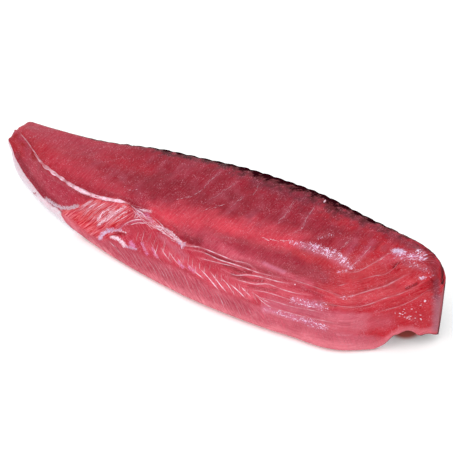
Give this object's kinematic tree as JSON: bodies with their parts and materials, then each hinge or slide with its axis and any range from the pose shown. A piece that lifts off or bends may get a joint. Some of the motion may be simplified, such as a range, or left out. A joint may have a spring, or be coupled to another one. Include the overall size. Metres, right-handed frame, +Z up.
{
  "type": "raw tuna loin",
  "caption": "Whole raw tuna loin with its skin on, long and boat-shaped, lying on its skin side with the cut flesh on top and a ridge of pale connective tissue along the front.",
  "frame": {"origin": "middle of the footprint's bounding box, on the surface that the loin lies on", "axes": "+X along the loin from the tail end to the head end, +Y from the muscle-lined front to the skin at the back, +Z up"},
  "size_m": [0.6, 0.1592, 0.0865],
  "materials": {
    "flesh": "moist dark pink raw flesh, softly shining, with fine pale muscle lines",
    "skin": "dark blue-black fish skin, moist, paling to silver grey towards the belly side",
    "fascia": "wet pale lilac-white connective tissue, slightly see-through"
  },
  "bodies": {
    "root": {"tuna_loin": "flesh"}
  },
  "joints": []
}
